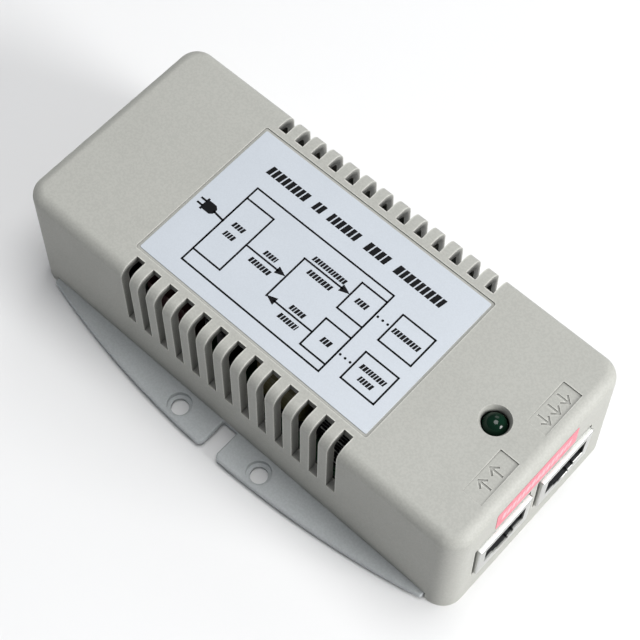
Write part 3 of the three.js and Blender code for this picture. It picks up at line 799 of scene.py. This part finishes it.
# The diagram's boxes as (x0, x1), (y0, y1), and its arrows as y, tail x, tip x.
DIAGRAM_BOXES = (
    ((-22.0, 14.2), (-14.7, 7.0)),
    ((-22.0, -14.7), (-11.55, 3.9)),
    ((7.75, 14.2), (-2.3, 5.05)),
    ((7.75, 14.2), (-12.8, -5.4)),
    ((18.2, 26.4), (-2.2, 5.1)),
    ((18.15, 26.4), (-12.85, -5.6)),
)
DIAGRAM_ARROWS = ((-4.0, -14.7, -4.2), (1.5, -4.2, 7.7), (-9.4, 7.5, -4.2))
DIAGRAM_DOTS = [(x, y) for x in (14.9, 16.15, 17.4) for y in (1.5, -9.3)]

# The plug symbol: its body, the rim behind it, its two pins, and the line that leads from it.
PLUG_BODY = [(-27.1, -3.9), (-25.2, -3.9), (-24.5, -3.3), (-24.5, -2.1), (-25.2, -1.5), (-27.1, -1.5)]
PLUG_RIM = [(-27.6, -4.2), (-27.1, -4.2), (-27.1, -1.2), (-27.6, -1.2)]
PLUG_LINES = (
    [(-28.7, -3.3), (-27.6, -3.3)],
    [(-28.7, -2.05), (-27.6, -2.05)],
    [(-24.6, -2.8), (-22.0, -3.1)],
)

# Rows of bars in place of words: the title's (x0, x1), and the diagram's (x0, x1), middle y, height.
TITLE_ROWS = ((-23.2, -12.4), (-10.9, -8.3), (-6.9, 1.0), (2.9, 8.7), (10.6, 22.8))
DIAGRAM_ROWS = (
    ((-19.9, -16.8), -2.2, 1.25),
    ((-19.9, -17.3), -4.8, 1.25),
    ((-10.9, -7.8), -2.7, 1.2),
    ((-12.1, -6.5), -5.7, 1.25),
    ((-2.9, 5.4), 2.8, 1.2),
    ((-1.7, 4.2), -0.1, 1.25),
    ((1.0, 4.9), -8.1, 1.2),
    ((0.5, 5.1), -10.9, 1.25),
    ((9.4, 12.6), 1.5, 1.35),
    ((10.1, 12.6), -9.2, 1.35),
    ((18.9, 25.8), 1.4, 1.25),
    ((19.4, 25.4), -8.4, 1.2),
    ((20.8, 24.1), -10.6, 1.2),
)


def printed(name, outline):
    return prism(name, outline, *INK)


def diagram():
    """The printed boxes, arrows, dots and plug symbol."""
    ink = []
    for (x0, x1), (y0, y1) in DIAGRAM_BOXES:
        ink += stroke([(x0, y0), (x1, y0), (x1, y1), (x0, y1), (x0, y0)], LINE, *INK)
    ink += stroke([(-4.15, 1.45), (-4.15, -9.5)], LINE, *INK)
    for y, tail, tip in DIAGRAM_ARROWS:
        towards = 1 if tip > tail else -1
        ink += stroke([(tail, y), (tip - towards * 2.0, y)], LINE, *INK)
        back = tip - towards * 2.3
        ink.append(printed("arrow_head", [(tip, y), (back, y - 0.9), (back, y + 0.9)]))
    ink += [printed("dot", circle(x, y, 0.28, 20)) for x, y in DIAGRAM_DOTS]
    ink += [printed("plug", PLUG_BODY), printed("plug_rim", PLUG_RIM)]
    for line in PLUG_LINES:
        ink += stroke(line, PLUG_LINE, *INK)
    return ink


def greeked(x, middle, height, low, high, weight=PRINT_WEIGHT):
    """A line of print shown as a row of plain leaning bars, all one height."""
    bars = []
    at, lean = x[0], 0.18
    y0, y1 = middle - 0.5 * height, middle + 0.5 * height
    while at < x[1] - 0.2 * height:
        width = min(height * random.uniform(0.36, 0.54) * weight / PRINT_WEIGHT, x[1] - at)
        slant = [(at, y0), (at + width, y0), (at + width, y1), (at, y1)]
        bars.append(prism("bar", [(across + lean * (y - middle), y) for across, y in slant], low, high))
        at += width + height * 0.14
    return bars


def make_label():
    outline = rounded(LABEL_LENGTH / 2, LABEL_WIDTH / 2, 0.35, 6, (FEATURE_X, 0))
    film = prism("label_film", outline, LABEL_TOP - LABEL_THICKNESS, LABEL_TOP)
    rounded_edges(film, 0.03, 1)
    smoothed(film)
    place(film, M["label"], "label_film", "label")
    ink = diagram()
    for x in TITLE_ROWS:
        ink += greeked(x, 11.9, 2.2, *INK, 0.68)
    for x, y, height in DIAGRAM_ROWS:
        ink += greeked(x, y, height, *INK)
    place(joined("label_print", ink), M["ink"], "label_film")


def end_wall(z):
    """The port end wall's x at a height."""
    return CASE_LENGTH / 2 + DRAFT * (CASE_HEIGHT - z)


def make_sticker():
    low, high = (Vector(c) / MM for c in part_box("port_sticker"))
    middle_y, middle_z = (low.y + high.y) / 2, (low.z + high.z) / 2
    half_y, half_z = (high.y - low.y) / 2, (high.z - low.z) / 2
    outline = rounded(half_y, half_z, 0.4, 5, (middle_y, middle_z))
    rings = []
    for height in (0.012, 0.082):
        rings.append([(end_wall(z) + height, y, z) for y, z in outline])
    place(smoothed(stack("port_sticker_film", rings)), M["sticker"], "port_sticker", "port_sticker")
    print_pieces = []
    for bar in greeked((low.y + 1.6, high.y - 1.6), 0, 2.4, 0, 0.02, 0.6):
        for vertex in bar.data.vertices:
            along, up, out = vertex.co.x / MM - MIDDLE_X, vertex.co.y / MM, vertex.co.z / MM
            face = end_wall(middle_z + up) + 0.08
            vertex.co = ((face + out + MIDDLE_X) * MM, along * MM, (middle_z + up) * MM)
        print_pieces.append(bar)
    place(joined("port_sticker_print", print_pieces), M["sticker_ink"], "port_sticker")


# ---------- Network jacks ----------


def jack_box(name, middle, x, y, z):
    """A box in a jack's own frame: x back from its face, y from its middle and z from its foot."""
    return box(
        name,
        (JACK_FACE + x[0], JACK_FACE + x[1]),
        (middle + y[0], middle + y[1]),
        (JACK_FOOT + z[0], JACK_FOOT + z[1]),
    )


def mouth(middle, depth):
    """Cutters for the plug's space and the two steps below it for the plug's latch."""
    x = (-depth, 1)
    return [
        jack_box("mouth", middle, x, (-PLUG_HALF_WIDTH, PLUG_HALF_WIDTH), (PLUG_FLOOR, PLUG_CEILING)),
        jack_box("latch", middle, x, (-3.1, 3.1), (PLUG_FLOOR - 1.1, PLUG_FLOOR + 1)),
        jack_box("key", middle, x, (-1.6, 1.6), (PLUG_FLOOR - 2, PLUG_FLOOR)),
    ]


def make_shield(port, middle):
    half, skin = JACK_WIDTH / 2, SHIELD_SKIN
    shell = jack_box(f"jack_{port}_shield", middle, (-JACK_DEPTH, 0), (-half, half), (0, JACK_HEIGHT))
    rounded_edges(shell, 0.35, 3)
    inside_x, inside_y = (-JACK_DEPTH + skin, -SHIELD_HEM), (-half + skin, half - skin)
    inside = jack_box("inside", middle, inside_x, inside_y, (-1, JACK_HEIGHT - skin))
    combine(shell, [inside, *mouth(middle, 2)])
    # Three cuts free a spring finger in each side.
    fingers = []
    for side in BOTH:
        y = sorted((side * (half - 0.6), side * (half + 1)))
        for x, z in (((-8.5, -2.4), (3.2, 3.6)), ((-8.5, -2.4), (6.4, 6.8)), ((-2.8, -2.4), (3.2, 6.8))):
            fingers.append(jack_box("window", middle, x, y, z))
    combine(shell, fingers)
    rounded_edges(shell, 0.07, 2)
    smoothed(shell)
    place(shell, M["tin"], "tinned_shield", f"jack_{port}_shell")


def make_insert(port, middle):
    inset = SHIELD_SKIN + GAP
    half = JACK_WIDTH / 2 - inset
    x = (-JACK_DEPTH + inset, -SHIELD_HEM - GAP)
    body = jack_box(f"jack_{port}_insert", middle, x, (-half, half), (GAP, JACK_HEIGHT - inset))
    room_x, room_z = (-JACK_DEPTH + 2, -14), (-1, JACK_HEIGHT - 1.8)
    carrier_room = jack_box("carrier_room", middle, room_x, (-5.4, 5.4), room_z)
    gate = jack_box("gate", middle, (-15, -12), (-4.4, 4.4), (6.4, 9.2))
    combine(body, [*mouth(middle, PLUG_DEPTH), carrier_room, gate])
    rounded_edges(body, 0.12, 2)
    smoothed(body)
    place(body, M["black"], "black_plastic", f"jack_{port}_body")


def make_contacts(port, middle):
    holder = jack_box("holder", middle, (-JACK_DEPTH + 2.3, -14.6), (-5, 5), (GAP, 9.8))
    rounded_edges(holder, 0.2, 2)
    path = [(-15.4, 7.1), (-13.6, 7.1), (-12.6, 7.25), (-8.0, 8.1), (-4.4, 8.8), (-3.6, 8.9), (-3.3, 9.05)]
    wires = []
    for i in range(CONTACTS):
        y = middle + (i - (CONTACTS - 1) / 2) * CONTACT_PITCH
        wires.append(wire([(JACK_FACE + x, y, JACK_FOOT + z) for x, z in path], 0.2))
    contacts = smoothed(joined(f"jack_{port}_wires", [holder, *wires]), 40)
    place(contacts, M["brass"], "brass", f"jack_{port}_contacts")


# ---------- Lamp ----------


def make_lamp():
    profile = [(2.7, 0), (2.9, 0.15), (2.9, 0.85), (2.75, 1.0), (LED_RADIUS, 1.0), (LED_RADIUS, LED_SHOULDER)]
    steps = 14
    for i in range(1, steps + 1):
        angle = i / steps * math.pi / 2
        profile.append((LED_RADIUS * math.cos(angle), LED_SHOULDER + LED_RADIUS * math.sin(angle)))
    lens = smoothed(turned("lamp_lens", profile, LED_X, 0, LED_FOOT, 96), 40)
    place(lens, M["lens"], "green_lens", "led_lens")


# ---------- Output heat sink ----------


def make_heatsink():
    low, high = (Vector(c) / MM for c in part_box("output_heatsink"))
    across = (low.x - MIDDLE_X, high.x - MIDDLE_X)
    spine = box("spine", across, (high.y - 3, high.y), (low.z, high.z))
    foot = box("foot", across, (low.y, high.y), (low.z, low.z + 1.5))
    fins, edges = [], []
    count = 10
    pitch = (high.z - low.z - 3) / (count - 1)
    for i in range(count):
        top = high.z - i * pitch
        fins.append(box("fin", across, (low.y + 0.15, high.y - 2), (top - 0.8, top)))
        if i % 3 == 0:
            edges.append(box("edge", across, (low.y, low.y + 0.14), (top - 0.6, top)))
    sink = rounded_edges(combine(spine, [foot, *fins], "UNION"), 0.08, 1)
    place(smoothed(sink), M["heatsink"], "heatsink", "output_heatsink")
    place(smoothed(joined("heatsink_worn_edges", edges)), M["fin_edge"], "heatsink")


# ---------- Mains inlet ----------

def across_x(name, size, cut, x0, x1):
    """A rectangle with its two upper corners cut off, run along X."""
    half_y, half_z = size[0] / 2, size[1] / 2
    section = [
        (-half_y, -half_z),
        (half_y, -half_z),
        (half_y, half_z - cut),
        (half_y - cut, half_z),
        (cut - half_y, half_z),
        (-half_y, half_z - cut),
    ]
    return stack(name, [[(x, y, INLET_Z + z) for y, z in section] for x in (x0, x1)])


def make_inlet():
    wall = -end_wall(0)
    housing = across_x("mains_inlet", INLET_FLANGE, 1.0, INLET_FACE, wall - GAP)
    body = across_x("inlet_body", INLET_BODY, 1.0, wall - 0.5, INLET_BACK)
    combine(housing, [body], "UNION")
    cutters = [across_x("mouth", INLET_MOUTH, 4.0, INLET_FACE - 1, INLET_MOUTH_END)]
    cutters.append(across_x("lead_in", INLET_LEAD_IN, 4.2, INLET_FACE - 1, INLET_FACE + 0.35))
    for y, z in INLET_PINS.values():
        z += INLET_Z
        slit = box("slit", (INLET_MOUTH_END - 1, INLET_BACK + 1), (y - 1.1, y + 1.1), (z - 2.1, z + 2.1))
        cutters.append(slit)
    combine(housing, cutters)
    rounded_edges(housing, 0.22, 3)
    place(smoothed(housing), M["black"], "black_plastic", "inlet_housing")
    for name, (y, z) in INLET_PINS.items():
        z += INLET_Z
        blade = box(f"inlet_blade_{name}", (INLET_FACE + 3, INLET_BACK + 0.5), (y - 1, y + 1), (z - 2, z + 2))
        rounded_edges(blade, 0.45, 3)
        tab = box("tab", (INLET_BACK - 0.5, INLET_BACK + 6.5), (y - 0.4, y + 0.4), (z - 2, z + 2))
        combine(blade, [rounded_edges(tab, 0.15, 2)], "UNION")
        place(smoothed(blade), M["brass"], "brass", f"inlet_pin_{name}")


# ---------- CAD pieces that keep their own shape ----------

# Each material with the beginnings of the names of the nodes that take it.
KEPT = {
    "steel": ["cover_screw_", "board_screw_", "fuse_clip_"],
    "board": ["circuit_board"],
    "mylar": ["insulating_sheet"],
    "black": [
        "bridge_rectifier",
        "switching_transistor",
        "transformer_bobbin",
        "control_chip",
        "optocoupler",
        "output_rectifier",
        "line_transformer",
    ],
    "blue_wire": ["inlet_wire_neutral"],
    "earth_wire": ["inlet_wire_earth"],
    "brown_wire": ["inlet_wire_live"],
    "fuse": ["fuse_tube"],
    "film": ["mains_filter_capacitor", "inrush_thermistor"],
    "ferrite": ["choke_core", "transformer_core"],
    "copper": ["choke_winding_", "output_choke"],
    "sleeve": ["bulk_capacitor", "output_capacitor_"],
    "heatsink": ["primary_heatsink"],
    "tape": ["transformer_winding"],
    "ceramic": ["safety_capacitor"],
    "solder": ["led_lead_"],
}


def finish_kept_nodes():
    for material, beginnings in KEPT.items():
        for name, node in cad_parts.items():
            if name.startswith(tuple(beginnings)):
                node.data.materials.clear()
                node.data.materials.append(M[material])


# ---------- Floor, light and camera ----------


FLOOR_REACH = 2500
FLOOR_Z = -0.05

# Each light's name, power in watts, and size and place in metres.
LIGHTS = (
    ("key", 12.0, 0.5, (1.0, 0.2, 0.42)),
    ("top", 11.0, 0.8, (0.12, 0.16, 1.2)),
    ("back", 1.5, 0.6, (-0.3, 0.9, 0.7)),
)
LIGHT_TARGET = Vector((0, 0, 0.015))
SKY_COLOUR = (0.92, 0.95, 1.0, 1)
SKY_STRENGTH = 0.2

CAMERA_LENS = 90.75
CAMERA_SENSOR = 36
CAMERA_SHIFT = (0.03125, -0.03125)
CAMERA_PLACE = (0.101607, -0.109590, 0.309065)
CAMERA_TURN = (0.480976, 0.012225, 0.744446)


def make_floor():
    corners = [(-1, -1), (1, -1), (1, 1), (-1, 1)]
    floor = build("floor", [(x * FLOOR_REACH, y * FLOOR_REACH, FLOOR_Z) for x, y in corners], [(0, 1, 2, 3)])
    paper = Surface("floor_paper", "E4E4E4", 0.85).drift(300, 0.01).grain(2.0, 0.01).done()
    floor.data.materials.append(paper)


def make_lights():
    for name, power, size, location in LIGHTS:
        light = bpy.data.lights.new(name, "AREA")
        light.shape = "DISK"
        light.size = size
        light.energy = power
        holder = bpy.data.objects.new(name, light)
        bpy.context.scene.collection.objects.link(holder)
        holder.location = location
        holder.rotation_mode = "QUATERNION"
        holder.rotation_quaternion = (LIGHT_TARGET - Vector(location)).to_track_quat("-Z", "Y")
    world = bpy.data.worlds.new("studio")
    bpy.context.scene.world = world
    world.use_nodes = True
    sky = world.node_tree.nodes["Background"]
    sky.inputs["Color"].default_value = SKY_COLOUR
    sky.inputs["Strength"].default_value = SKY_STRENGTH


def make_camera():
    data = bpy.data.cameras.new("camera")
    data.lens = CAMERA_LENS
    data.sensor_width = CAMERA_SENSOR
    data.shift_x, data.shift_y = CAMERA_SHIFT
    data.clip_start, data.clip_end = 0.02, 20
    camera = bpy.data.objects.new("camera", data)
    bpy.context.scene.collection.objects.link(camera)
    camera.location = CAMERA_PLACE
    camera.rotation_euler = CAMERA_TURN
    bpy.context.scene.camera = camera


# ---------- The whole scene ----------

make_cover()
make_base()
make_heatsink()
make_inlet()
make_label()
make_sticker()
for port_name, port_middle in JACK_MIDDLES.items():
    make_shield(port_name, port_middle)
    make_insert(port_name, port_middle)
    make_contacts(port_name, port_middle)
make_lamp()
finish_kept_nodes()
make_floor()
make_lights()
make_camera()
bpy.context.scene.view_settings.view_transform = "Standard"
